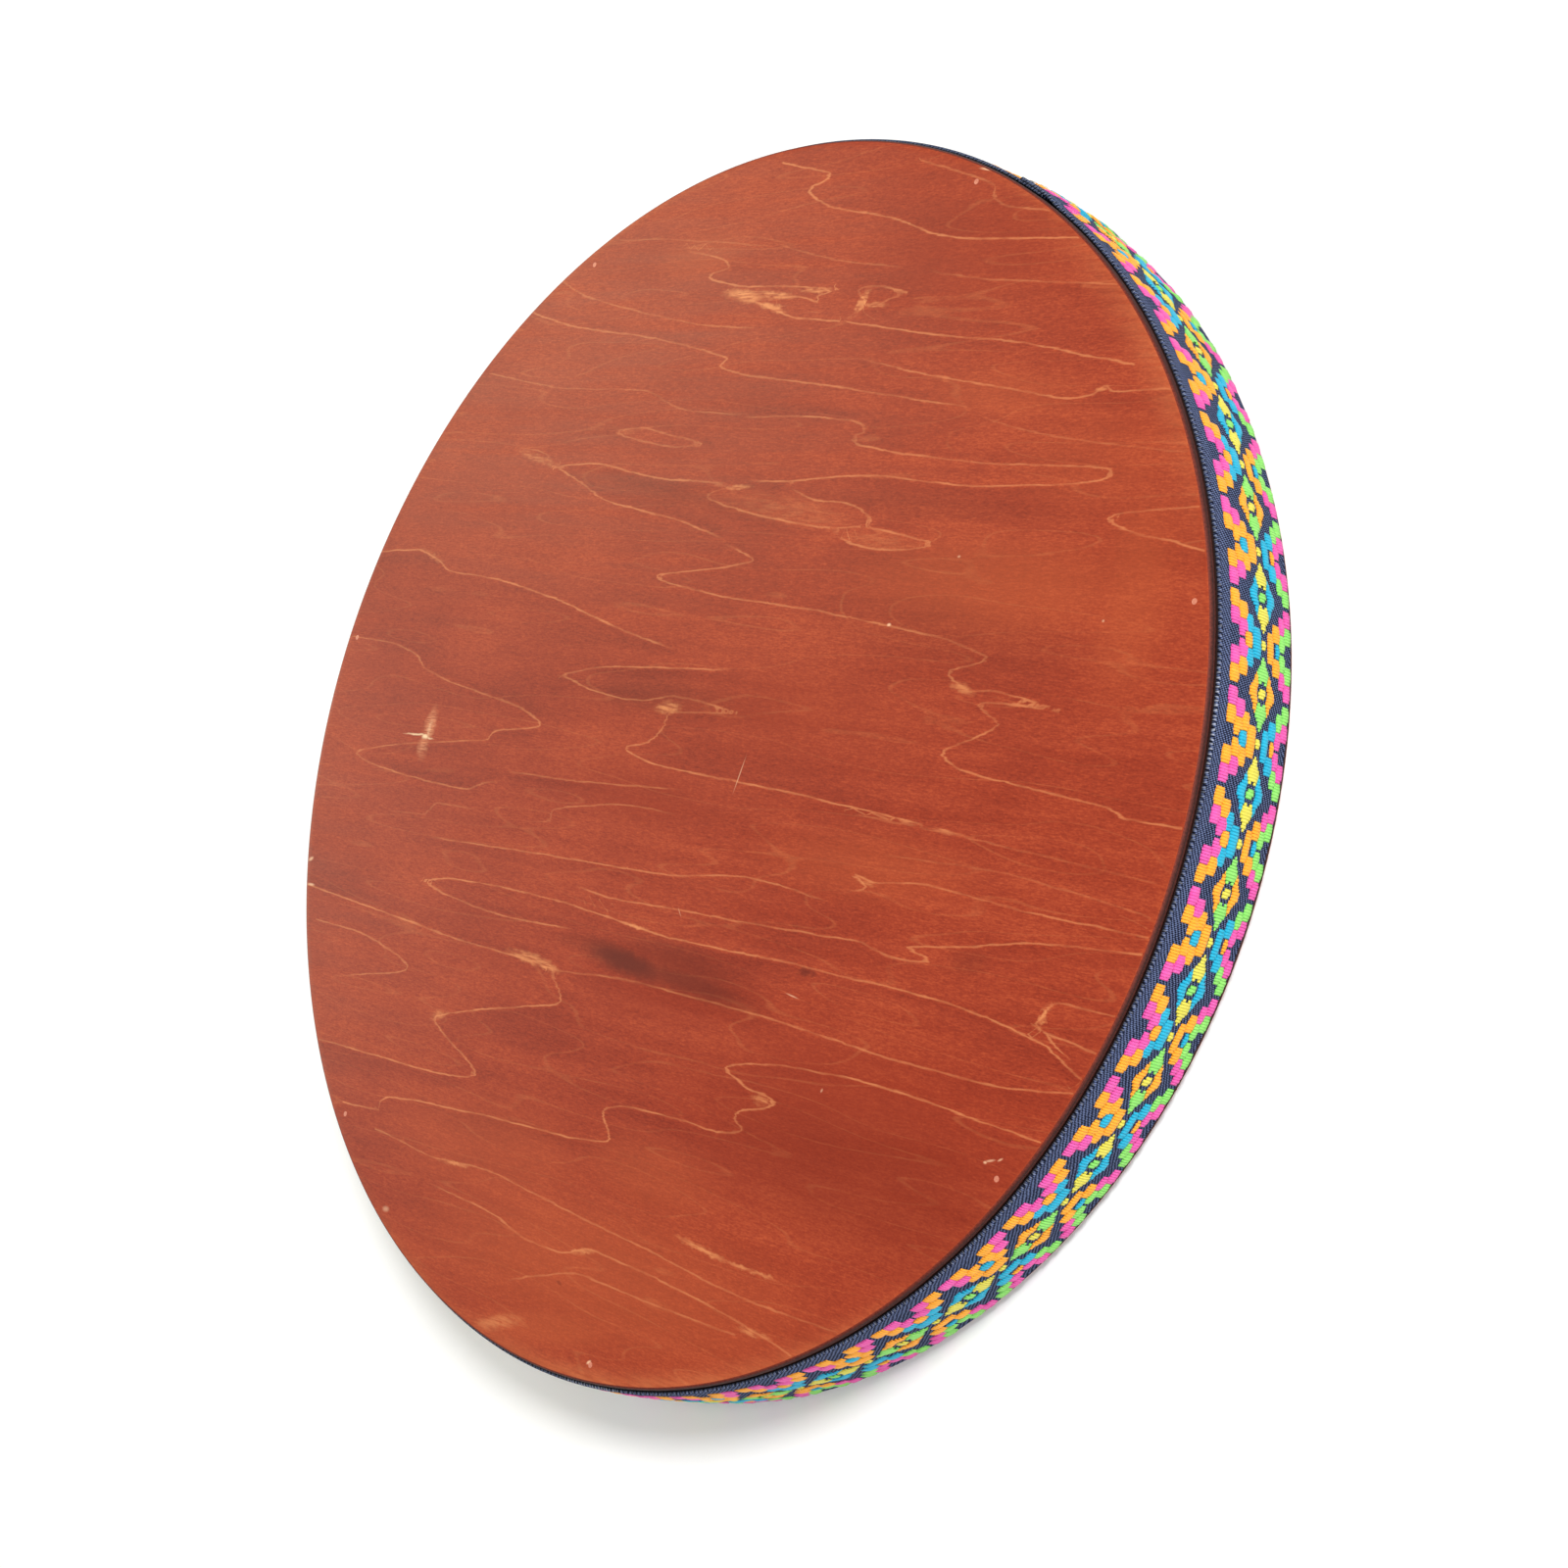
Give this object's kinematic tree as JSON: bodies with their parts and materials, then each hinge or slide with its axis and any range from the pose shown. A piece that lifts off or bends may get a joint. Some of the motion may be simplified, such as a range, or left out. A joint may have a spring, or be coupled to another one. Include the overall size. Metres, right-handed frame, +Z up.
{
  "type": "rain drum",
  "caption": "Shallow closed rain drum: round stained plywood boards on a bent wooden hoop, with a patterned woven ribbon round its rim.",
  "frame": {"origin": "middle of the underside, where the drum rests", "axes": "+Z up along the drum's axis, through both boards; +X along the grain of the top board"},
  "size_m": [0.4048, 0.4048, 0.038],
  "materials": {
    "stained_plywood": "red-brown stained rotary-cut veneer, satin",
    "bent_wood": "bare bent strip, matt",
    "woven_ribbon": "navy ground with raised floats in pink, orange, turquoise, green and yellow",
    "steel_brad": "small filed head, dulled"
  },
  "bodies": {
    "root": {"top_board": "stained_plywood", "bottom_board": "stained_plywood", "hoop": "bent_wood", "ribbon": "woven_ribbon", "top_brad_1": "steel_brad", "top_brad_2": "steel_brad", "top_brad_3": "steel_brad", "top_brad_4": "steel_brad", "top_brad_5": "steel_brad", "top_brad_6": "steel_brad", "top_brad_7": "steel_brad", "bottom_brad_1": "steel_brad", "bottom_brad_2": "steel_brad", "bottom_brad_3": "steel_brad", "bottom_brad_4": "steel_brad", "bottom_brad_5": "steel_brad", "bottom_brad_6": "steel_brad", "bottom_brad_7": "steel_brad"}
  },
  "joints": []
}
